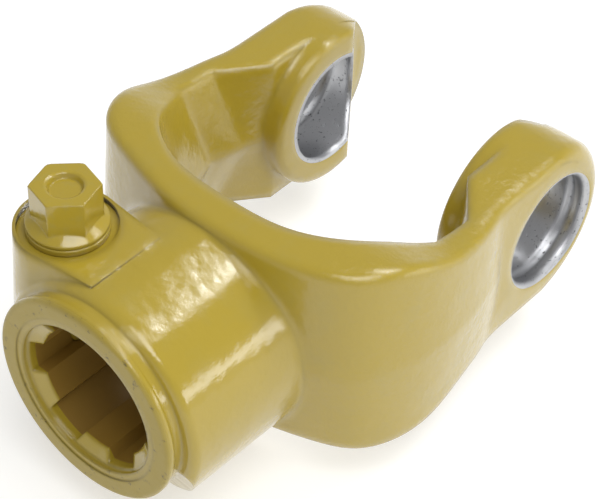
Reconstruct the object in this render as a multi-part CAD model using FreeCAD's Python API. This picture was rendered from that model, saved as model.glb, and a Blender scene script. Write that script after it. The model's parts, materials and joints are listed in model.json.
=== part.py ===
import FreeCAD, Part
import math
import os

# Forged end yoke of an agricultural drive shaft.
# Frame: origin where the hub axis crosses the axis of the ear bores, X runs along
# the hub axis from the hub (-X) to the ear tips (+X), Y runs along the ear bores,
# Z is up, the head of the locking bolt on top. All lengths in mm, angles in degrees.

V = FreeCAD.Vector

# ---- ears and cross bores ----
BORE_D = 27.0            # bore for the bearing cup of the cross
EAR_OUTER = 40.0         # machined outer face of an ear, from the hub axis
EAR_INNER = 23.0         # inner face of the ear boss, from the hub axis
BORE_CHAMFER = 0.9       # lead-in at the outer end of the bore
RING_GROOVE_Y = 35.0     # start of the snap-ring groove, from the hub axis
RING_GROOVE_W = 1.8
RING_GROOVE_DEPTH = 0.9
BOSS_R = 20.2            # raised ring round the bore on the inner side
EAR_HALF_H = 20.0        # half height of an ear
TIP_CENTRE_X = 0.8       # centre of the full round at the ear tip
TIP_CORNER_R = 6.0       # rounding between the outer face and the very end of the tip
RELIEF_START_X = 5.5     # slope that thins the tip on the inner side
RELIEF_END_X = 16.5
RELIEF_Y = 31.2

# ---- fork blank ----
DRAFT = 3.0              # forging draft of the outer walls
FACE_STOCK = 0.6         # taken off the ears where their outer faces are machined
FACE_END_X = 4.0         # the machined face ends this far in front of the waist
FLAT_END_X = -14.0       # where the straight outer wall of the ear ends
WAIST_X = -24.0          # the wall swings out from the ear to the arm here
WAIST_Y = 41.8
ARM_MAX_X = -38.0        # widest place of the arms
ARM_MAX_Y = 44.0
SHOULDER_X = -54.0       # start of the shoulder
SHOULDER_Y = 42.4
CORNER_X = -62.4         # middle of the shoulder corner
CORNER_Y = 37.2
WEB_EDGE_X = -67.2       # end of the shoulder on the hub side
WEB_EDGE_Y = 28.0
WEB_BACK_X = -73.0       # back of the web on the hub axis
FULL_SHOULDER = 2.0      # upper shoulder away from the bolt stands out this much further
TOP_FLAT_X = -28.0       # the top leaves the level of the ears here
TOP_MID_X = -42.0
TOP_MID_Z = 22.2
BOTTOM_MID_Z = 22.8
WEB_TOP_X = -60.0        # the top reaches the height of the web here
WEB_TOP_Z = 27.3
WEB_BOTTOM_Z = 24.4
BLANK_HALF_H = 32.0      # height of the uncut blank, larger than any part of the fork
REACH = 120.0            # length of cutters that run past the whole fork
EDGE_R = 1.5             # rounding of the outer edges

# ---- throat between the arms ----
THROAT_X = -62.8         # bottom of the throat on the hub axis
THROAT_MID_X = -60.1     # point of the throat arc
THROAT_MID_Y = 19.0
THROAT_LEVEL = 28.0      # upper level at which the throat is outlined
# corners of the hollow in an arm, at mid height and at the upper level
BOSS_FOOT_X = -17.5      # foot of the ear boss
BOSS_FOOT_Y = 27.0
BOSS_FOOT_UP_X = -16.7
BOSS_FOOT_UP_Y = 28.2
SCOOP_X = -25.0          # end of the slope beside the boss
SCOOP_Y = 29.0
SCOOP_UP_X = -29.0
SCOOP_UP_Y = 39.4
ARM_IN_X = -34.0         # deepest place of the hollow
ARM_IN_Y = 31.0
ARM_IN_UP_X = -40.5
ARM_IN_UP_Y = 38.0
HEEL_X = -47.0           # the hollow turns into the throat arc here
HEEL_Y = 27.5
HEEL_UP_X = -48.5
HEEL_UP_Y = 32.0

# ---- hub ----
HUB_FACE_X = -105.8
NOSE_R = 24.15
NOSE_LEN = 2.2
NECK_R = 23.6
NECK_LEN = 2.1
BODY_FRONT_R = 27.0
BODY_BACK_R = 27.6
BODY_DROP = 2.0          # the forged body sits this far below the turned nose
BODY_ROUND = 2.0         # rounding of the front edge of the body
LEAN_START_Z = -8.0      # below here the front of the body leans back
LEAN = 23.0
BODY_END_X = -63.0       # the hub body ends inside the web
NOSE_ROUND = 0.9
COUNTERBORE_R = 18.0
COUNTERBORE_DEPTH = 1.6
LIP_R = 19.6             # shallow lip round the counterbore
LIP_DEPTH = 0.35

# ---- 1 3/8 inch bore with six splines ----
SPLINE_MINOR_R = 14.93
SPLINE_MAJOR_R = 17.5
SPLINE_COUNT = 6
SPLINE_SLOT_W = 8.73
SPLINE_LEAD_IN = 1.5     # depth of the cone that bevels the front ends of the teeth

# ---- bolt boss and locking bolt ----
BOLT_FROM_FACE = 16.8    # bolt axis behind the front face of the hub
BOLT_Y = 19.7
BOLT_D = 8.0
BOLT_HOLE_CLEARANCE = 0.3
BOLT_BOSS_R = 11.3       # at the boss top, wider below by the draft
BOSS_OVER_HUB = 0.4      # the boss top lies this far above the crown of the hub
BOSS_LINK_Y = 3.0        # the boss runs over the hub to here
BOSS_LINK_HALF = 9.7     # half width of the boss at that end
SPOT_R = 10.6
SPOT_DEPTH = 1.3
WASHER_R = 8.8
WASHER_T = 1.6
WASHER_BORE_D = 8.4
FLANGE_R = 8.7
FLANGE_RIM_H = 1.0
FLANGE_H = 2.4
HEX_FLAT = 13.0
HEAD_H = 10.2
HEX_TURN = 15.0          # angle of the first corner about the bolt axis
HEAD_CHAMFER = 0.6
RECESS_R = 3.8
RECESS_RIM_R = 4.3
RECESS_DEPTH = 1.3
NUT_HEX_H = 8.0
THREAD_PLAY = 0.05
BOLT_END_CHAMFER = 1.0
BOLT_BEYOND_NUT = 2.5

# ---- places that follow ----
BOLT_X = HUB_FACE_X + BOLT_FROM_FACE
BOLT_BOSS_TOP = BODY_FRONT_R - BODY_DROP + BOSS_OVER_HUB    # the underside mirrors it


def cylinder(radius, length, base, axis):
    return Part.makeCylinder(radius, length, base, axis)


def mirror_y(shape):
    return shape.mirror(V(0, 0, 0), V(0, 1, 0))


def prism(wire, direction):
    return Part.Face(wire).extrude(direction)


def outer_wall(inset, z, fuller):
    """Outer wall from the middle of the web's back to the ear, on the +Y side."""
    ear_y = EAR_OUTER + FACE_STOCK - inset
    flat = V(FLAT_END_X, ear_y, z)
    curve = [V(WEB_BACK_X + inset, 0, z),
             V(WEB_EDGE_X + inset - fuller, WEB_EDGE_Y - inset * 0.3, z),
             V(CORNER_X + inset * 0.7 - fuller * 0.7, CORNER_Y - inset * 0.7, z),
             V(SHOULDER_X, SHOULDER_Y - inset, z),
             V(ARM_MAX_X, ARM_MAX_Y - inset, z),
             V(WAIST_X, WAIST_Y - inset, z),
             flat]
    side = Part.BSplineCurve()
    side.interpolate(curve, InitialTangent=V(0, 1, 0), FinalTangent=V(1, 0, 0))
    tip = V(TIP_CENTRE_X + EAR_HALF_H + 3.0, ear_y, z)
    return [side.toShape(), Part.makeLine(flat, tip)]


def outer_outline(inset, z, fuller):
    """Closed plan outline of the fork, moved inwards by the inset at height z."""
    bolt_side = outer_wall(inset, z, 0.0)
    plain_side = [mirror_y(e) for e in outer_wall(inset, z, fuller)]
    tip = V(TIP_CENTRE_X + EAR_HALF_H + 3.0, EAR_OUTER + FACE_STOCK - inset, z)
    close = Part.makeLine(tip, V(tip.x, -tip.y, z))
    return Part.Wire(Part.__sortEdges__(bolt_side + plain_side + [close]))


def side_profile():
    """Prism of the side view: level ears with a full round tip, high web."""
    r = EAR_HALF_H
    back = WEB_BACK_X - 10.0

    def flank(sign, mid_z, web_z):
        a = V(TIP_CENTRE_X, 0, sign * r)
        b = V(TOP_FLAT_X, 0, sign * r)
        m = V(TOP_MID_X, 0, sign * mid_z)
        c = V(WEB_TOP_X, 0, sign * web_z)
        rise = Part.BSplineCurve()
        rise.interpolate([b, m, c], InitialTangent=V(-1, 0, 0), FinalTangent=V(-1, 0, 0))
        return [Part.makeLine(a, b), rise.toShape(),
                Part.makeLine(c, V(back, 0, sign * web_z))]

    tip = Part.Arc(V(TIP_CENTRE_X, 0, r), V(TIP_CENTRE_X + r, 0, 0), V(TIP_CENTRE_X, 0, -r))
    end = Part.makeLine(V(back, 0, WEB_TOP_Z), V(back, 0, -WEB_BOTTOM_Z))
    edges = flank(1, TOP_MID_Z, WEB_TOP_Z) + flank(-1, BOTTOM_MID_Z, WEB_BOTTOM_Z)
    wire = Part.Wire(Part.__sortEdges__(edges + [tip.toShape(), end]))
    wire.translate(V(0, -REACH / 2, 0))
    return prism(wire, V(0, REACH, 0))


def tip_corner_section(turn):
    """Section of the tip corner cutter, turned from the top (0) over the tip end (90)."""
    t = math.radians(turn)
    r = EDGE_R + (TIP_CORNER_R - EDGE_R) * math.sin(t)
    lean = EAR_HALF_H * math.tan(math.radians(DRAFT)) - FACE_STOCK
    y = EAR_OUTER - lean * math.cos(t) ** 2
    h = EAR_HALF_H
    out = 3.0
    bulge = r * math.sqrt(0.5) - r

    def at(rho, across):
        return V(TIP_CENTRE_X + rho * math.sin(t), across, rho * math.cos(t))

    pts = [at(h, y - r), at(h + out, y - r), at(h + out, y + out), at(h - r, y + out), at(h - r, y)]
    edges = [Part.makeLine(a, b) for a, b in zip(pts[:-1], pts[1:])]
    edges.append(Part.Arc(pts[-1], at(h + bulge, y + bulge), pts[0]).toShape())
    return Part.Wire(edges)


def tip_corner_cut():
    """Cutter that rounds the outer edge of an ear, wider towards the very end of the tip."""
    return Part.makeLoft([tip_corner_section(turn) for turn in range(0, 181, 30)], True)


def fork_blank():
    inset = BLANK_HALF_H * math.tan(math.radians(DRAFT))
    middle = outer_outline(0.0, 0.0, FULL_SHOULDER)
    top = outer_outline(inset, BLANK_HALF_H, FULL_SHOULDER)
    bottom = outer_outline(inset, -BLANK_HALF_H, 0.0)
    upper = Part.makeLoft([middle, top], True, True)
    lower = Part.makeLoft([middle, bottom], True, True)
    blank = upper.fuse(lower).removeSplitter().common(side_profile()).removeSplitter()
    blank = blank.makeFillet(EDGE_R, [e for e in blank.Edges if is_rim(e)])
    for sign in (1, -1):
        far = Part.makeBox(REACH, REACH, REACH, V(WAIST_X + FACE_END_X, EAR_OUTER, -REACH / 2))
        corner = tip_corner_cut()
        if sign < 0:
            far, corner = mirror_y(far), mirror_y(corner)
        blank = blank.cut(far).cut(corner)
    return blank.removeSplitter()


def is_rim(edge):
    """True for the edges between the outer walls and the top or bottom faces."""
    mid = edge.valueAt((edge.FirstParameter + edge.LastParameter) / 2)
    ends = [v.Point for v in edge.Vertexes]
    high = all(abs(p.z) > EAR_HALF_H - 0.6 for p in ends + [mid])
    return high and abs(mid.y) > 20.0 and len(ends) == 2


def throat_outline(z, points):
    """Plan outline of the throat and the hollows of the arms at height z."""
    corners = [V(x, y, z) for x, y in points]
    rim = [V(REACH, corners[0].y, z)] + corners
    lines = [Part.makeLine(a, b) for a, b in zip(rim[:-1], rim[1:])]
    arc = Part.BSplineCurve()
    arc.interpolate([corners[-1], V(THROAT_MID_X, THROAT_MID_Y, z), V(THROAT_X, 0, z)],
                    InitialTangent=V(-0.88, -0.47, 0), FinalTangent=V(0, -1, 0))
    half = lines + [arc.toShape()]
    other = [e.mirror(V(0, 0, 0), V(0, 1, 0)) for e in half]
    close = Part.makeLine(rim[0], V(REACH, -corners[0].y, z))
    return Part.Wire(Part.__sortEdges__(half + other + [close]))


def throat():
    middle = throat_outline(0.0, ((BOSS_FOOT_X, BOSS_FOOT_Y), (SCOOP_X, SCOOP_Y),
                                  (ARM_IN_X, ARM_IN_Y), (HEEL_X, HEEL_Y)))
    upper = ((BOSS_FOOT_UP_X, BOSS_FOOT_UP_Y), (SCOOP_UP_X, SCOOP_UP_Y),
             (ARM_IN_UP_X, ARM_IN_UP_Y), (HEEL_UP_X, HEEL_UP_Y))
    halves = [Part.makeLoft([middle, throat_outline(level, upper)], True, True)
              for level in (THROAT_LEVEL, -THROAT_LEVEL)]
    return halves[0].fuse(halves[1])


def ear_boss():
    """Raised ring on the inner side of the far ear."""
    ring = cylinder(BOSS_R, 8.0, V(0, EAR_INNER, 0), V(0, 1, 0))
    return ring.makeFillet(1.2, [e for e in ring.Edges
                                 if abs(e.BoundBox.YMax - EAR_INNER) < 0.01])


def ear_cuts():
    """Bore, snap-ring groove, lead-in chamfer and tip relief of the far ear."""
    r = BORE_D / 2
    axis = V(0, 1, 0)
    bore = cylinder(r, 40.0, V(0, 15.0, 0), axis)
    groove = cylinder(r + RING_GROOVE_DEPTH, RING_GROOVE_W, V(0, RING_GROOVE_Y, 0), axis)
    c = BORE_CHAMFER
    cone = Part.makeCone(r, r + 2 * c, 2 * c, V(0, EAR_OUTER - c, 0), axis)
    plan = [(RELIEF_START_X, EAR_INNER), (RELIEF_END_X, RELIEF_Y), (REACH, RELIEF_Y),
            (REACH, 0), (RELIEF_START_X, 0), (RELIEF_START_X, EAR_INNER)]
    relief = Part.makePolygon([V(x, y, -REACH / 2) for x, y in plan])
    return bore.fuse([groove, cone, prism(relief, V(0, 0, REACH))])


def turned(points, arcs, drop):
    """Solid turned about the hub axis, lowered by the drop; arcs round off the named edges."""
    edges = [Part.makeLine(a, b) for a, b in zip(points, points[1:] + points[:1])]
    for i, r in arcs:
        bulge = V(-r * math.sqrt(0.5), r * math.sqrt(0.5), 0)
        centre = V(points[i + 1].x, points[i].y, 0)
        edges[i] = Part.Arc(points[i], centre + bulge, points[i + 1]).toShape()
    shape = Part.Face(Part.Wire(edges)).revolve(V(0, 0, 0), V(1, 0, 0), 360)
    shape.translate(V(0, 0, -drop))
    return shape


def nose():
    """Turned nose ring and the neck behind it."""
    x = HUB_FACE_X
    n = NOSE_ROUND
    pts = [V(x, 0, 0), V(x, NOSE_R - n, 0), V(x + n, NOSE_R, 0),
           V(x + NOSE_LEN - (NOSE_R - NECK_R), NOSE_R, 0), V(x + NOSE_LEN, NECK_R, 0),
           V(BODY_END_X, NECK_R, 0), V(BODY_END_X, 0, 0)]
    return turned(pts, [(1, n)], 0)


def hub_body():
    """Forged body of the hub, slightly conical, its lower front leaning back, flat below."""
    x = HUB_FACE_X + NOSE_LEN + NECK_LEN
    b = BODY_ROUND
    pts = [V(x, 0, 0), V(x, BODY_FRONT_R - b, 0), V(x + b, BODY_FRONT_R, 0),
           V(BODY_END_X, BODY_BACK_R, 0), V(BODY_END_X, 0, 0)]
    body = turned(pts, [(1, b)], BODY_DROP)
    low = LEAN_START_Z - REACH
    shift = REACH * math.tan(math.radians(LEAN))
    side = Part.makePolygon([V(x - 1, -REACH / 2, LEAN_START_Z), V(x, -REACH / 2, LEAN_START_Z),
                             V(x + shift, -REACH / 2, low), V(x - 1, -REACH / 2, low),
                             V(x - 1, -REACH / 2, LEAN_START_Z)])
    under = Part.makeBox(REACH, REACH, REACH, V(x - 1, -REACH / 2, -BOLT_BOSS_TOP - REACH))
    return body.cut(prism(side, V(0, REACH, 0))).cut(under)


def boss_link_outline(z, half, hub_half):
    """Outline of the bridge from the bolt boss over the hub at height z."""
    corners = [(-hub_half, BOSS_LINK_Y), (hub_half, BOSS_LINK_Y), (half, BOLT_Y), (-half, BOLT_Y)]
    return Part.makePolygon([V(BOLT_X + a, b, z) for a, b in corners + corners[:1]])


def bolt_boss():
    """Upright boss beside the hub that carries the locking bolt."""
    top = BOLT_BOSS_TOP
    r = BOLT_BOSS_R
    wide = r + top * math.tan(math.radians(DRAFT))
    halves = []
    for sign in (1, -1):
        up = V(0, 0, sign)
        post = Part.makeCone(wide, r, top, V(BOLT_X, BOLT_Y, 0), up)
        base = boss_link_outline(0.0, wide, BOSS_LINK_HALF + wide - r)
        lid = boss_link_outline(sign * top, r, BOSS_LINK_HALF)
        link = Part.makeLoft([base, lid], True, True)
        halves.append(post.fuse(link))
    return halves[0].fuse(halves[1])


def spline_bore():
    """Cutter of the splined bore with its counterbore and shallow lip."""
    axis = V(1, 0, 0)
    seat = HUB_FACE_X + COUNTERBORE_DEPTH
    length = THROAT_X - seat + 10.0
    cutter = cylinder(SPLINE_MINOR_R, length, V(seat, 0, 0), axis)
    outer = cylinder(SPLINE_MAJOR_R, length, V(seat, 0, 0), axis)
    for i in range(SPLINE_COUNT):
        slot = Part.makeBox(length, SPLINE_MAJOR_R + 2, SPLINE_SLOT_W,
                            V(seat, 0, -SPLINE_SLOT_W / 2)).common(outer)
        slot.rotate(V(0, 0, 0), axis, i * 360.0 / SPLINE_COUNT)
        cutter = cutter.fuse(slot)
    lead = Part.makeCone(SPLINE_MAJOR_R, SPLINE_MINOR_R, SPLINE_LEAD_IN, V(seat, 0, 0), axis)
    counter = cylinder(COUNTERBORE_R, COUNTERBORE_DEPTH + 1, V(HUB_FACE_X - 1, 0, 0), axis)
    lip = cylinder(LIP_R, LIP_DEPTH + 1, V(HUB_FACE_X - 1, 0, 0), axis)
    return cutter.fuse([lead, counter, lip])


def bolt_cuts():
    """Through hole of the locking bolt and the spot faces above and below."""
    hole_r = BOLT_D / 2 + BOLT_HOLE_CLEARANCE
    top = BOLT_BOSS_TOP
    hole = cylinder(hole_r, 2 * top + 2, V(BOLT_X, BOLT_Y, -top - 1), V(0, 0, 1))
    spots = [cylinder(SPOT_R, SPOT_DEPTH + 5.0, V(BOLT_X, BOLT_Y, z), V(0, 0, 1))
             for z in (top - SPOT_DEPTH, -top - 5.0)]
    return hole.fuse(spots)


def yoke():
    fork = fork_blank().cut(throat())
    profile = side_profile()
    for sign in (1, -1):
        boss = ear_boss() if sign > 0 else mirror_y(ear_boss())
        fork = fork.fuse(boss.common(profile))
    body = fork.fuse([nose(), hub_body(), bolt_boss()]).removeSplitter()
    for sign in (1, -1):
        cuts = ear_cuts() if sign > 0 else mirror_y(ear_cuts())
        body = body.cut(cuts)
    return body.cut(spline_bore()).cut(bolt_cuts())


def revolved(points, x, y):
    """Solid of revolution about the upright line through (x, y)."""
    wire = Part.makePolygon([V(x + r, y, z) for r, z in points + points[:1]])
    return Part.Face(wire).revolve(V(x, y, 0), V(0, 0, 1), 360)


def hexagon(flat, z, height):
    r = flat / math.sqrt(3)
    pts = [V(BOLT_X + r * math.cos(math.radians(HEX_TURN + 60 * i)),
             BOLT_Y + r * math.sin(math.radians(HEX_TURN + 60 * i)), z) for i in range(7)]
    return prism(Part.makePolygon(pts), V(0, 0, height))


def washer():
    z = BOLT_BOSS_TOP - SPOT_DEPTH
    inner = WASHER_BORE_D / 2
    e = 0.25
    return revolved([(inner, z), (WASHER_R - e, z), (WASHER_R, z + e),
                     (WASHER_R, z + WASHER_T - e), (WASHER_R - e, z + WASHER_T),
                     (inner, z + WASHER_T)], BOLT_X, BOLT_Y)


def flange(z, sign, bore):
    """Conical flange of bolt head or nut, standing up (sign 1) or hanging (-1)."""
    rim = FLANGE_RIM_H
    e = 0.3
    pts = [(bore, 0), (FLANGE_R - e, 0), (FLANGE_R, e), (FLANGE_R, rim),
           (HEX_FLAT / 2, FLANGE_H), (bore, FLANGE_H)]
    return revolved([(r, z + sign * h) for r, h in pts], BOLT_X, BOLT_Y)


def hex_crown(z, sign, height):
    """Cone that takes the corners off the outer end of a hexagon."""
    r = HEX_FLAT / math.sqrt(3)
    c = HEAD_CHAMFER
    pts = [(0, 0), (r + 1, 0), (r + 1, height - c), (r - 0.4, height), (0, height)]
    return revolved([(rr, z + sign * h) for rr, h in pts], BOLT_X, BOLT_Y)


def bolt():
    z = BOLT_BOSS_TOP - SPOT_DEPTH + WASHER_T
    nut_end = -BOLT_BOSS_TOP + SPOT_DEPTH - NUT_HEX_H
    end = nut_end - BOLT_BEYOND_NUT
    r = BOLT_D / 2
    c = BOLT_END_CHAMFER
    head = hexagon(HEX_FLAT, z, HEAD_H).common(hex_crown(z, 1, HEAD_H))
    top = z + HEAD_H
    rim = (RECESS_RIM_R - RECESS_R) * 0.5
    dish = revolved([(0, top + 1), (RECESS_RIM_R, top + 1), (RECESS_RIM_R, top),
                     (RECESS_R, top - rim), (RECESS_R - 0.5, top - RECESS_DEPTH),
                     (0, top - RECESS_DEPTH)], BOLT_X, BOLT_Y)
    shank = revolved([(0, z + 1), (r, z + 1), (r, end + c), (r - c, end), (0, end)],
                     BOLT_X, BOLT_Y)
    return head.cut(dish).fuse([flange(z, 1, 0.0), shank]).removeSplitter()


def nut():
    z = -BOLT_BOSS_TOP + SPOT_DEPTH
    bore = BOLT_D / 2 + THREAD_PLAY
    hexa = hexagon(HEX_FLAT, z - NUT_HEX_H, NUT_HEX_H).common(hex_crown(z, -1, NUT_HEX_H))
    hexa = hexa.cut(cylinder(bore, NUT_HEX_H + 2, V(BOLT_X, BOLT_Y, z - NUT_HEX_H - 1),
                             V(0, 0, 1)))
    return hexa.fuse(flange(z, -1, bore)).removeSplitter()


if __name__ == "__main__":
    os.makedirs("parts", exist_ok=True)
    for name, make in (("yoke", yoke), ("bolt", bolt), ("washer", washer), ("nut", nut)):
        shape = make()
        shape.exportStep("parts/%s.step" % name)
        print(name, shape.isValid(), len(shape.Solids), len(shape.Faces), round(shape.Volume))
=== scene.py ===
"""Finishes the forged yoke: enamel on forging and fasteners, bare ear bores, thread and stage."""
import json
from math import cos, pi, radians, sin

import bmesh
import bpy
from mathutils import Matrix, Vector


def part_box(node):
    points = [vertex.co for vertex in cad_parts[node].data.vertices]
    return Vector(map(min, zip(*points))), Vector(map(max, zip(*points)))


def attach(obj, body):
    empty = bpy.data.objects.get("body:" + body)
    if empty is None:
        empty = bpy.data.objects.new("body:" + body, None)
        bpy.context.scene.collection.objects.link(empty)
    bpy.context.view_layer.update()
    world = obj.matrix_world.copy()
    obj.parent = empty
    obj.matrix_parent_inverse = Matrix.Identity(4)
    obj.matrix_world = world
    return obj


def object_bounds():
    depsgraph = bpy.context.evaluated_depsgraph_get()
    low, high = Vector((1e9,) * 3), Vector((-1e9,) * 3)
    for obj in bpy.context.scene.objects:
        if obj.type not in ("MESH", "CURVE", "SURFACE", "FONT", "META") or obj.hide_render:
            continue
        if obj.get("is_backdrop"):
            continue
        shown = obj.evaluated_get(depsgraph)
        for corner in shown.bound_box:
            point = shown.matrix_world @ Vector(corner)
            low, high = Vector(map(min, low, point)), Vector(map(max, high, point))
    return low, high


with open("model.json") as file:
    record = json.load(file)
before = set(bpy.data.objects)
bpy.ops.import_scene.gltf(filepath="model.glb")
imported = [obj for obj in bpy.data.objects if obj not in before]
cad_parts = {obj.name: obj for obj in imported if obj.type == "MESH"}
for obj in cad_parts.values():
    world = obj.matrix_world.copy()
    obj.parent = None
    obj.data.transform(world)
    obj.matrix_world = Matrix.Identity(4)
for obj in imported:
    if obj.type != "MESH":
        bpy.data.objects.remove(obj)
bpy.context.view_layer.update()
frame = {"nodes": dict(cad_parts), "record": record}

bl_info = {
    "name": "Forged yoke",
    "version": (1, 0, 0),
    "blender": (4, 5, 0),
    "location": "3D View > Sidebar > Yoke",
    "description": "Paints a forged universal joint yoke and sets its stage",
    "category": "Object",
}

MM = 0.001


# ---------------------------------------------------------------- places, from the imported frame
def mount(name):
    """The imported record's mount of that name."""
    return next(m for m in frame["record"]["mounts"] if m["name"] == name)


EAR_BORE_R = mount("cross_bore")["dims"]["r_mm"] * MM
TOOTH_R = mount("spline_bore")["dims"]["r_mm"] * MM
SPLINE_MIDDLE_X = mount("spline_bore")["pos_m"][0]
SPLINE_LENGTH = mount("spline_bore")["dims"]["length_mm"] * MM
HUB_FACE_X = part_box("yoke")[0].x
HUB_FOOT_X = SPLINE_MIDDLE_X + SPLINE_LENGTH / 2 - 8 * MM
BOLT_LOW, BOLT_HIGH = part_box("bolt")
BOSS_TOP_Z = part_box("washer")[0].z
NUT_LOW_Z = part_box("nut")[0].z
RING_GROOVE_DEPTH = 1.0 * MM     # reaches just past the groove in an ear bore
SLOT_DEPTH = 2.9 * MM            # reaches just past the slots of the spline bore
EAR_INSIDE_Y = 20 * MM           # the ear bores lie further out than this
CRISP_EDGE = 0.2 * MM            # machined edges stay nearly sharp


# ---------------------------------------------------------------- what a user would change
class YokePaintSettings(bpy.types.PropertyGroup):
    """The enamel over the forging and the fasteners."""
    paint: bpy.props.StringProperty(
        name="Paint", description="Colour of the enamel, as an sRGB hex value",
        default="#A7912F")
    worn_paint: bpy.props.StringProperty(
        name="Thin paint", description="Colour where the enamel is thin or dusty",
        default="#A3903A")
    # thin enamel on the hub's faced end, made darker than the paint as painted shade
    faced_thin_paint_and_shade: bpy.props.StringProperty(
        name="Faced end", description="Colour of the thin enamel on the faced end of the hub",
        default="#9C8833")
    dirt: bpy.props.StringProperty(
        name="Dirt", description="Colour of the specks where the hub's end has been handled",
        default="#5A4E2A")
    edge_round: bpy.props.FloatProperty(
        name="Edge round", description="How far the paint and the forging soften an edge",
        default=1.3 * MM, min=0, subtype="DISTANCE", unit="LENGTH")
    hollow_round: bpy.props.FloatProperty(
        name="Hollow round", description="How far the forging softens a hollow corner",
        default=3.6 * MM, min=0, subtype="DISTANCE", unit="LENGTH")
    lump_size: bpy.props.FloatProperty(
        name="Lump size", description="Spacing of the slow waves a forging die leaves",
        default=7 * MM, min=0.1 * MM, subtype="DISTANCE", unit="LENGTH")
    ripple_size: bpy.props.FloatProperty(
        name="Ripple size", description="Spacing of the sags in the wet enamel",
        default=2.6 * MM, min=0.1 * MM, subtype="DISTANCE", unit="LENGTH")
    peel_size: bpy.props.FloatProperty(
        name="Peel size", description="Spacing of the orange peel of sprayed enamel",
        default=1.6 * MM, min=0.1 * MM, subtype="DISTANCE", unit="LENGTH")
    grit_size: bpy.props.FloatProperty(
        name="Grit size", description="Grain of the shot-blasted skin under the enamel",
        default=0.6 * MM, min=0.1 * MM, subtype="DISTANCE", unit="LENGTH")


class YokeBoreSettings(bpy.types.PropertyGroup):
    """The machined bores."""
    steel: bpy.props.StringProperty(
        name="Bare steel", description="Colour of the bored ears, as an sRGB hex value",
        default="#B9BABD")
    pitted_steel: bpy.props.StringProperty(
        name="Pits", description="Colour of the pits in the bored ears",
        default="#4E4E52")
    broached: bpy.props.StringProperty(
        name="Broached bore", description="Colour of the thinly painted spline bore",
        default="#8A6C2C")
    tool_mark: bpy.props.FloatProperty(
        name="Tool mark", description="Spacing of the boring tool's marks",
        default=0.5 * MM, min=0.05 * MM, subtype="DISTANCE", unit="LENGTH")


class YokeThreadSettings(bpy.types.PropertyGroup):
    """The rolled thread on the end of the locking bolt."""
    pitch: bpy.props.FloatProperty(
        name="Pitch", description="Distance from one thread crest to the next",
        default=1.25 * MM, min=0.2 * MM, subtype="DISTANCE", unit="LENGTH")
    depth: bpy.props.FloatProperty(
        name="Depth", description="Depth of the thread between its crests",
        default=0.5 * MM, min=0.05 * MM, subtype="DISTANCE", unit="LENGTH")


class YokeStageSettings(bpy.types.PropertyGroup):
    """Floor, lights and camera."""
    floor: bpy.props.StringProperty(
        name="Floor", description="Colour of the floor, as an sRGB hex value",
        default="#C8C8C6")
    azimuth: bpy.props.FloatProperty(
        name="Azimuth", description="Turn of the camera round the yoke",
        default=radians(-50.16), subtype="ANGLE", unit="ROTATION")
    elevation: bpy.props.FloatProperty(
        name="Elevation", description="Height of the camera above the horizon",
        default=radians(43.37), subtype="ANGLE", unit="ROTATION")
    roll: bpy.props.FloatProperty(
        name="Roll", description="Turn of the camera about its own line of sight",
        default=radians(1.92), subtype="ANGLE", unit="ROTATION")
    distance: bpy.props.FloatProperty(
        name="Distance", description="From the camera to the point it looks at",
        default=457.4 * MM, subtype="DISTANCE", unit="LENGTH")
    lens: bpy.props.FloatProperty(
        name="Lens", description="Focal length of the camera, in millimetres",
        default=125.33, min=1)


# ---------------------------------------------------------------- material helpers
def linear(hex_colour):
    """An sRGB hex value as linear RGBA."""
    parts = [int(hex_colour[i:i + 2], 16) / 255 for i in (1, 3, 5)]
    return [p / 12.92 if p <= 0.04045 else ((p + 0.055) / 1.055) ** 2.4 for p in parts] + [1]


def add(tree, kind, inputs=(), output=0, **settings):
    """Adds a node, sets it, links or sets its inputs by place or name, and gives one output."""
    node = tree.nodes.new("ShaderNode" + kind)
    for name, value in settings.items():
        setattr(node, name, value)
    for key, value in inputs.items() if isinstance(inputs, dict) else enumerate(inputs):
        if isinstance(value, bpy.types.NodeSocket):
            tree.links.new(value, node.inputs[key])
        else:
            node.inputs[key].default_value = value
    return node.outputs[output] if node.outputs else None


def new_material(name):
    """An empty node material and its tree."""
    material = bpy.data.materials.new(name)
    material.use_nodes = True
    material.node_tree.nodes.clear()
    return material, material.node_tree


def put_on(piece, material):
    """The material takes the place of every material the piece has."""
    if not piece.data.materials:
        piece.data.materials.append(material)
    for i in range(len(piece.data.materials)):
        piece.data.materials[i] = material


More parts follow.
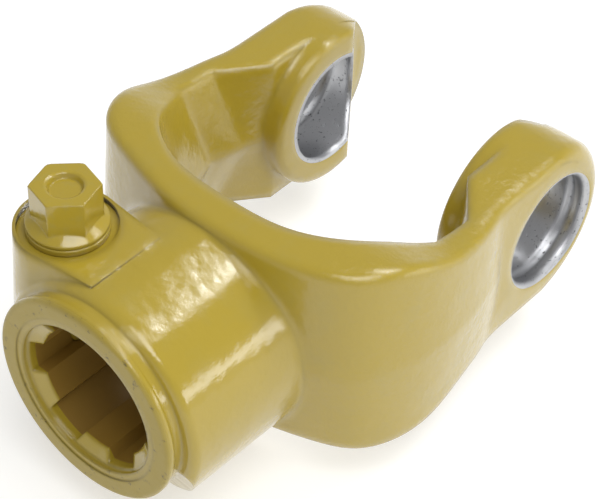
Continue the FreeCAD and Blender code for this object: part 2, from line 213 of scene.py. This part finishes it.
# ---------------------------------------------------------------- enamel over forged steel
def forging_zones(tree, place):
    """Where the forging is bare, broached, faced, hollow or rough, each from 0 to 1."""
    x = add(tree, "SeparateXYZ", (place,), "X")
    y = add(tree, "SeparateXYZ", (place,), "Y")
    z = add(tree, "SeparateXYZ", (place,), "Z")
    side = add(tree, "VectorMath", (place, (1, 0, 1)), operation="MULTIPLY")
    end = add(tree, "VectorMath", (place, (0, 1, 1)), operation="MULTIPLY")
    from_ear_axis = add(tree, "VectorMath", (side,), "Value", operation="LENGTH")
    from_hub_axis = add(tree, "VectorMath", (end,), "Value", operation="LENGTH")
    out_y = add(tree, "Math", (y,), operation="ABSOLUTE")

    in_bore = add(tree, "Math", (from_ear_axis, EAR_BORE_R + RING_GROOVE_DEPTH),
                  operation="LESS_THAN")
    in_ear = add(tree, "Math", (out_y, EAR_INSIDE_Y), operation="GREATER_THAN")
    from_middle = add(tree, "Math", (x, SPLINE_MIDDLE_X), operation="SUBTRACT")
    along = add(tree, "Math", (from_middle,), operation="ABSOLUTE")
    in_spline = add(tree, "Math", (from_hub_axis, TOOTH_R + SLOT_DEPTH), operation="LESS_THAN")
    in_hub = add(tree, "Math", (along, SPLINE_LENGTH / 2 - 0.4 * MM), operation="LESS_THAN")

    near_foot = add(tree, "MapRange", {"Value": x, "From Min": HUB_FOOT_X - 10 * MM,
                                       "From Max": HUB_FOOT_X})
    off_hub = add(tree, "Math", (from_hub_axis, TOOTH_R + 7 * MM), operation="GREATER_THAN")
    in_fork = add(tree, "Math", (x, HUB_FOOT_X + 12 * MM), operation="GREATER_THAN")
    off_bore = add(tree, "MapRange", {"Value": from_ear_axis, "From Min": 15.5 * MM,
                                      "From Max": 21 * MM})
    at_boss_top = add(tree, "MapRange", {"Value": z, "From Min": BOSS_TOP_Z - 4 * MM,
                                         "From Max": BOSS_TOP_Z - 2 * MM})
    on_hub = add(tree, "Math", (x, HUB_FOOT_X), operation="LESS_THAN")
    hub_foot = add(tree, "Math", (near_foot, off_hub), operation="MULTIPLY")
    inner_arm = add(tree, "Math", (in_fork, off_bore), operation="MULTIPLY")
    boss_foot = add(tree, "Math", (at_boss_top, on_hub), operation="MULTIPLY")
    in_fork_or_foot = add(tree, "Math", (hub_foot, inner_arm), operation="MAXIMUM")

    far_out = add(tree, "MapRange", {"Value": out_y, "From Min": 24 * MM, "From Max": 29 * MM})
    off_boss = add(tree, "MapRange", {"Value": from_ear_axis, "From Min": 17 * MM,
                                      "From Max": 22 * MM})
    return {
        "out_y": out_y,
        "bare": add(tree, "Math", (in_bore, in_ear), operation="MULTIPLY"),
        "broached": add(tree, "Math", (in_spline, in_hub), operation="MULTIPLY"),
        # the hub's faced end, where the colour is darkened as painted shade
        "faced": add(tree, "MapRange", {"Value": x, "From Min": HUB_FACE_X + 1.2 * MM,
                                        "From Max": HUB_FACE_X}),
        "hollow": add(tree, "Math", (boss_foot, in_fork_or_foot), operation="MAXIMUM"),
        "rough": add(tree, "Math", (far_out, off_boss), operation="MULTIPLY"),
    }


def forging_colour(tree, place, zones, cloud, pits, settings, bores):
    """Enamel, a faced end of thin enamel darkened as painted shade with dirt specks, a brown film
    in the spline bore and pitted steel.
    """
    grime = add(tree, "TexNoise", {"Vector": place, "Scale": 1 / (2.4 * MM), "Detail": 4.0,
                                   "Roughness": 0.75})
    specks = add(tree, "MapRange", {"Value": grime, "From Min": 0.60, "From Max": 0.68})
    enamel = add(tree, "Mix", {0: cloud, 6: linear(settings.paint),
                               7: linear(settings.worn_paint)}, 2, data_type="RGBA")
    # the faced end: thin enamel darkened as painted shade, with dark dirt specks
    specks_on_shaded_end = add(tree, "Mix", {0: specks, 6: linear(settings.faced_thin_paint_and_shade),
                                7: linear(settings.dirt)}, 2, data_type="RGBA")
    hub_end = add(tree, "Mix", {0: zones["faced"], 6: enamel, 7: specks_on_shaded_end}, 2, data_type="RGBA")
    film = add(tree, "Mix", {0: zones["broached"], 6: hub_end, 7: linear(bores.broached)}, 2,
               data_type="RGBA")
    steel = add(tree, "Mix", {0: pits, 6: linear(bores.steel), 7: linear(bores.pitted_steel)}, 2,
                data_type="RGBA")
    return add(tree, "Mix", {0: zones["bare"], 6: film, 7: steel}, 2, data_type="RGBA")


def forging_height(tree, place, zones, pits, settings, bores):
    """Height of the skin in metres: layers of forging and enamel, or tool marks and pits."""
    layers = [
        # spacing, detail, roughness of the noise, height
        (settings.lump_size, 2.0, 0.5, 0.22 * MM),
        (settings.ripple_size, 2.0, 0.5, 0.035 * MM),
        (settings.peel_size, 1.0, 0.5, 0.012 * MM),
        (settings.grit_size, 2.0, 0.7, 0.016 * MM),
    ]
    forged = add(tree, "TexNoise", {"Vector": place, "Scale": 1 / (1.4 * MM), "Detail": 3.0,
                                    "Roughness": 0.65})
    scale = add(tree, "Math", (forged, 0.10 * MM), operation="MULTIPLY")
    painted = add(tree, "Math", (scale, zones["rough"]), operation="MULTIPLY")
    for spacing, detail, roughness, high in layers:
        wave = add(tree, "TexNoise", {"Vector": place, "Scale": 1 / spacing, "Detail": detail,
                                      "Roughness": roughness})
        painted = add(tree, "Math", (wave, high, painted), operation="MULTIPLY_ADD")
    turns = add(tree, "Math", (zones["out_y"], 2 * pi / bores.tool_mark), operation="MULTIPLY")
    rings = add(tree, "Math", (turns,), operation="SINE")
    cut = add(tree, "Math", (rings, 0.006 * MM), operation="MULTIPLY")
    machined = add(tree, "Math", (pits, -0.05 * MM, cut), operation="MULTIPLY_ADD")
    covered = add(tree, "Math", (1.0, zones["bare"]), operation="SUBTRACT")
    skin = add(tree, "Math", (painted, covered), operation="MULTIPLY")
    return add(tree, "Math", (machined, zones["bare"], skin), operation="MULTIPLY_ADD")


def soft_normal(tree, zones, height, settings):
    """Edges rounded as forging and paint leave them, crisp where machined, with the skin on."""
    machined = add(tree, "Math", (zones["bare"], zones["broached"]), operation="MAXIMUM")
    crisp = add(tree, "Math", (machined, CRISP_EDGE - settings.edge_round, settings.edge_round),
                operation="MULTIPLY_ADD")
    radius = add(tree, "Math",
                 (zones["hollow"], settings.hollow_round - settings.edge_round, crisp),
                 operation="MULTIPLY_ADD")
    rounded = add(tree, "Bevel", {"Radius": radius}, "Normal", samples=8)
    return add(tree, "Bump", {"Strength": 1.0, "Distance": 1.0, "Height": height,
                              "Normal": rounded}, "Normal")


def enamel_over_forging(settings, bores):
    """Sprayed gloss enamel on a drop forging: one mustard colour, slow die waves under a fine
    orange peel, soft edges. The ear bores were machined after painting and are bare steel:
    grey, with dark pits and the boring tool's fine rings."""
    material, tree = new_material("gloss_enamel_on_drop_forging")
    place = add(tree, "TexCoord", output="Object")
    zones = forging_zones(tree, place)
    drift = add(tree, "TexNoise", {"Vector": place, "Scale": 1 / (11 * MM), "Detail": 4.0,
                                   "Roughness": 0.6})
    cloud = add(tree, "MapRange", {"Value": drift, "From Min": 0.52, "From Max": 0.80})
    grain = add(tree, "TexNoise", {"Vector": place, "Scale": 1 / (0.9 * MM), "Detail": 3.0,
                                   "Roughness": 0.7})
    pits = add(tree, "MapRange", {"Value": grain, "From Min": 0.60, "From Max": 0.70})
    colour = forging_colour(tree, place, zones, cloud, pits, settings, bores)
    height = forging_height(tree, place, zones, pits, settings, bores)
    normal = soft_normal(tree, zones, height, settings)

    # thick enamel is glossy under a clear skin; thin films and bare steel are duller
    thin = add(tree, "Math", (zones["broached"], zones["faced"]), operation="MAXIMUM")
    glossy = add(tree, "Math", (cloud, 0.08, 0.14), operation="MULTIPLY_ADD")
    duller = add(tree, "Math", (thin, 0.25, glossy), operation="MULTIPLY_ADD")
    steel_rough = add(tree, "Math", (zones["bare"], 0.34), operation="MULTIPLY")
    rough = add(tree, "Math", (duller, steel_rough), operation="MAXIMUM")
    no_skin = add(tree, "Math", (zones["bare"], thin), operation="MAXIMUM")
    skin = add(tree, "Math", (no_skin, -0.5, 0.5), operation="MULTIPLY_ADD")
    shader = add(tree, "BsdfPrincipled",
                 {"Base Color": colour, "Metallic": zones["bare"], "Roughness": rough,
                  "Coat Weight": skin, "Coat Roughness": 0.05, "Normal": normal,
                  "Coat Normal": normal})
    add(tree, "OutputMaterial", {"Surface": shader})
    return material


def enamel_on_fastener(settings):
    """The same enamel on cold-formed steel: thinner, so smoother, with crisper edges."""
    material, tree = new_material("gloss_enamel_on_cold_formed_steel")
    place = add(tree, "TexCoord", output="Object")
    peel = add(tree, "TexNoise", {"Vector": place, "Scale": 1 / (2.2 * MM), "Detail": 2.0})
    cloud = add(tree, "MapRange", {"Value": peel, "From Min": 0.5, "From Max": 0.75})
    colour = add(tree, "Mix", {0: cloud, 6: linear(settings.paint),
                               7: linear(settings.worn_paint)}, 2, data_type="RGBA")
    height = add(tree, "Math", (peel, 0.05 * MM), operation="MULTIPLY")
    rounded = add(tree, "Bevel", {"Radius": 0.5 * MM}, "Normal", samples=6)
    normal = add(tree, "Bump", {"Distance": 1.0, "Height": height, "Normal": rounded}, "Normal")
    rough = add(tree, "MapRange", {"Value": cloud, "To Min": 0.14, "To Max": 0.24})
    shader = add(tree, "BsdfPrincipled",
                 {"Base Color": colour, "Roughness": rough, "Coat Weight": 0.4,
                  "Coat Roughness": 0.05, "Normal": normal, "Coat Normal": normal})
    add(tree, "OutputMaterial", {"Surface": shader})
    return material


# ---------------------------------------------------------------- operators
class YOKE_OT_forging(bpy.types.Operator):
    """Gives the forging its enamel and bare ear bores"""
    bl_idname = "yoke.forging"
    bl_label = "Finish the forging"

    def execute(self, context):
        scene = context.scene
        put_on(frame["nodes"]["yoke"], enamel_over_forging(scene.yoke_paint, scene.yoke_bores))
        return {"FINISHED"}


class YOKE_OT_fasteners(bpy.types.Operator):
    """Gives the locking bolt, its washer and its nut their enamel"""
    bl_idname = "yoke.fasteners"
    bl_label = "Finish the fasteners"

    def execute(self, context):
        material = enamel_on_fastener(context.scene.yoke_paint)
        for name in ("bolt", "washer", "nut"):
            put_on(frame["nodes"][name], material)
        return {"FINISHED"}


class YOKE_OT_thread(bpy.types.Operator):
    """Rolls the thread that shows on the bolt below its nut"""
    bl_idname = "yoke.thread"
    bl_label = "Thread the bolt end"

    def execute(self, context):
        sizes = context.scene.yoke_thread
        middle = (BOLT_LOW + BOLT_HIGH) / 2
        end = [v.co for v in frame["nodes"]["bolt"].data.vertices if v.co.z < NUT_LOW_Z]
        radius = max(Vector((p.x - middle.x, p.y - middle.y)).length for p in end)
        turns = int((NUT_LOW_Z - BOLT_LOW.z - 1.0 * MM) / sizes.pitch)
        if turns < 1:
            raise RuntimeError("the bolt is too short below its nut to carry a thread")
        low = NUT_LOW_Z - turns * sizes.pitch
        crest = radius + 0.12 * MM
        root = crest - sizes.depth
        steps = 40

        mesh = bmesh.new()
        profile = [(root, 0.0), (crest, 0.35), (crest, 0.65), (root, 1.0)]
        line = [mesh.verts.new((r, 0, low + t * sizes.pitch)) for r, t in profile]
        edges = [mesh.edges.new(pair) for pair in zip(line, line[1:])]
        bmesh.ops.spin(mesh, geom=line + edges, cent=(0, 0, 0), axis=(0, 0, 1), angle=2 * pi,
                       steps=steps, use_merge=False, dvec=(0, 0, sizes.pitch / steps))
        first = list(mesh.verts) + list(mesh.edges) + list(mesh.faces)
        for turn in range(1, turns):
            copied = bmesh.ops.duplicate(mesh, geom=first)
            verts = [v for v in copied["geom"] if isinstance(v, bmesh.types.BMVert)]
            bmesh.ops.translate(mesh, verts=verts, vec=(0, 0, turn * sizes.pitch))
        bmesh.ops.remove_doubles(mesh, verts=mesh.verts, dist=0.005 * MM)
        bmesh.ops.translate(mesh, verts=mesh.verts, vec=(middle.x, middle.y, 0))
        bmesh.ops.recalc_face_normals(mesh, faces=mesh.faces)
        data = bpy.data.meshes.new("bolt_thread")
        mesh.to_mesh(data)
        mesh.free()
        data.shade_smooth()
        thread = bpy.data.objects.new("bolt_thread", data)
        context.scene.collection.objects.link(thread)
        put_on(thread, frame["nodes"]["bolt"].data.materials[0])
        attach(thread, "root")
        return {"FINISHED"}


class YOKE_OT_stage(bpy.types.Operator):
    """Lays the floor, hangs the soft boxes and sets up the camera"""
    bl_idname = "yoke.stage"
    bl_label = "Set the stage"

    def execute(self, context):
        settings = context.scene.yoke_stage
        low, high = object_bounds()
        self.lay_floor(context, settings, low.z)
        self.light_room(context)
        self.hang_boxes(context, (low + high) / 2)
        self.set_camera(context, settings)
        return {"FINISHED"}

    def lay_floor(self, context, settings, height):
        """A pale sheet of matt board, lit through, wide enough to fill every view."""
        mesh = bmesh.new()
        bmesh.ops.create_grid(mesh, x_segments=1, y_segments=1, size=2.5)
        bmesh.ops.translate(mesh, verts=mesh.verts, vec=(0, 0, height))
        data = bpy.data.meshes.new("floor")
        mesh.to_mesh(data)
        mesh.free()
        floor = bpy.data.objects.new("floor", data)
        context.scene.collection.objects.link(floor)
        material, tree = new_material("matt_white_board")
        shader = add(tree, "BsdfPrincipled",
                     {"Base Color": linear(settings.floor), "Roughness": 0.9,
                      "Emission Color": linear("#FFFFFF"), "Emission Strength": 0.55})
        add(tree, "OutputMaterial", {"Surface": shader})
        put_on(floor, material)
        floor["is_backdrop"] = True

    def light_room(self, context):
        """A pale room, brightest at the horizon, so that walls shine and tops keep their colour."""
        world = bpy.data.worlds.new("studio")
        world.use_nodes = True
        tree = world.node_tree
        tree.nodes.clear()
        place = add(tree, "TexCoord", output="Generated")
        up = add(tree, "SeparateXYZ", (place,), "Z")
        level = add(tree, "MapRange",
                    {"Value": up, "From Min": 0.0, "From Max": 0.45, "To Min": 0.75,
                     "To Max": 0.36}, interpolation_type="SMOOTHSTEP")
        sky = add(tree, "Background", {"Color": linear("#FFFFFF"), "Strength": level})
        add(tree, "OutputWorld", {"Surface": sky})
        context.scene.world = world
        context.scene.view_settings.view_transform = "Standard"

    def hang_boxes(self, context, centre):
        """A long box behind and above with a bright strip in it, a key box and a low one."""
        boxes = [
            # name, turn from +X, height above the horizon, distance, width, height, watts
            ("back_box", -9, 57, 0.60, 0.44, 0.17, 0.85),
            ("front_box", 245, 64, 0.90, 0.60, 0.50, 4.9),
            ("low_box", 302, 9, 0.80, 0.50, 0.12, 0.9),
            ("glint_strip", -9, 60, 0.60, 0.34, 0.010, 0.40),
        ]
        for name, turn, rise, far, wide, tall, watts in boxes:
            lamp = bpy.data.lights.new(name, "AREA")
            lamp.shape = "RECTANGLE"
            lamp.size, lamp.size_y = wide, tall
            lamp.energy = watts
            box = bpy.data.objects.new(name, lamp)
            out = Vector((cos(radians(turn)) * cos(radians(rise)),
                          sin(radians(turn)) * cos(radians(rise)), sin(radians(rise))))
            box.location = centre + out * far
            box.rotation_euler = out.to_track_quat("Z", "Y").to_euler()
            context.scene.collection.objects.link(box)

    def set_camera(self, context, settings):
        """Looks down on the hub's mouth, the bolt at the far side, the fork going away."""
        turn, rise, roll = settings.azimuth, settings.elevation, settings.roll
        back = Vector((sin(turn) * cos(rise), -cos(turn) * cos(rise), sin(rise)))
        level = Vector((cos(turn), sin(turn), 0))
        right = level * cos(roll) + back.cross(level) * sin(roll)
        up = back.cross(right)
        aim = Vector((-42.2 * MM, -2.9 * MM, 0))
        spot = aim + back * settings.distance
        camera = bpy.data.objects.new("camera", bpy.data.cameras.new("camera"))
        camera.data.sensor_width = 36
        camera.data.lens = settings.lens
        camera.matrix_world = Matrix((
            (right.x, up.x, back.x, spot.x),
            (right.y, up.y, back.y, spot.y),
            (right.z, up.z, back.z, spot.z),
            (0, 0, 0, 1)))
        context.scene.collection.objects.link(camera)
        context.scene.camera = camera


class YOKE_PT_panel(bpy.types.Panel):
    """Lists the yoke's settings and steps"""
    bl_idname = "YOKE_PT_panel"
    bl_label = "Forged yoke"
    bl_space_type = "VIEW_3D"
    bl_region_type = "UI"
    bl_category = "Yoke"

    def draw(self, context):
        for group in SETTINGS:
            box = self.layout.box()
            held = getattr(context.scene, group)
            for name in held.bl_rna.properties.keys():
                if name not in ("rna_type", "name"):
                    box.prop(held, name)
        for operator in OPERATORS:
            self.layout.operator(operator.bl_idname)


SETTINGS = {
    "yoke_paint": YokePaintSettings,
    "yoke_bores": YokeBoreSettings,
    "yoke_thread": YokeThreadSettings,
    "yoke_stage": YokeStageSettings,
}
OPERATORS = (YOKE_OT_forging, YOKE_OT_fasteners, YOKE_OT_thread, YOKE_OT_stage)


def register():
    for name, group in SETTINGS.items():
        bpy.utils.register_class(group)
        setattr(bpy.types.Scene, name, bpy.props.PointerProperty(type=group))
    for each in (*OPERATORS, YOKE_PT_panel):
        bpy.utils.register_class(each)


def unregister():
    for each in (YOKE_PT_panel, *reversed(OPERATORS)):
        bpy.utils.unregister_class(each)
    for name, group in reversed(SETTINGS.items()):
        delattr(bpy.types.Scene, name)
        bpy.utils.unregister_class(group)


def main():
    register()
    bpy.ops.yoke.forging()
    bpy.ops.yoke.fasteners()
    bpy.ops.yoke.thread()
    bpy.ops.yoke.stage()


if __name__ == "__main__":
    main()
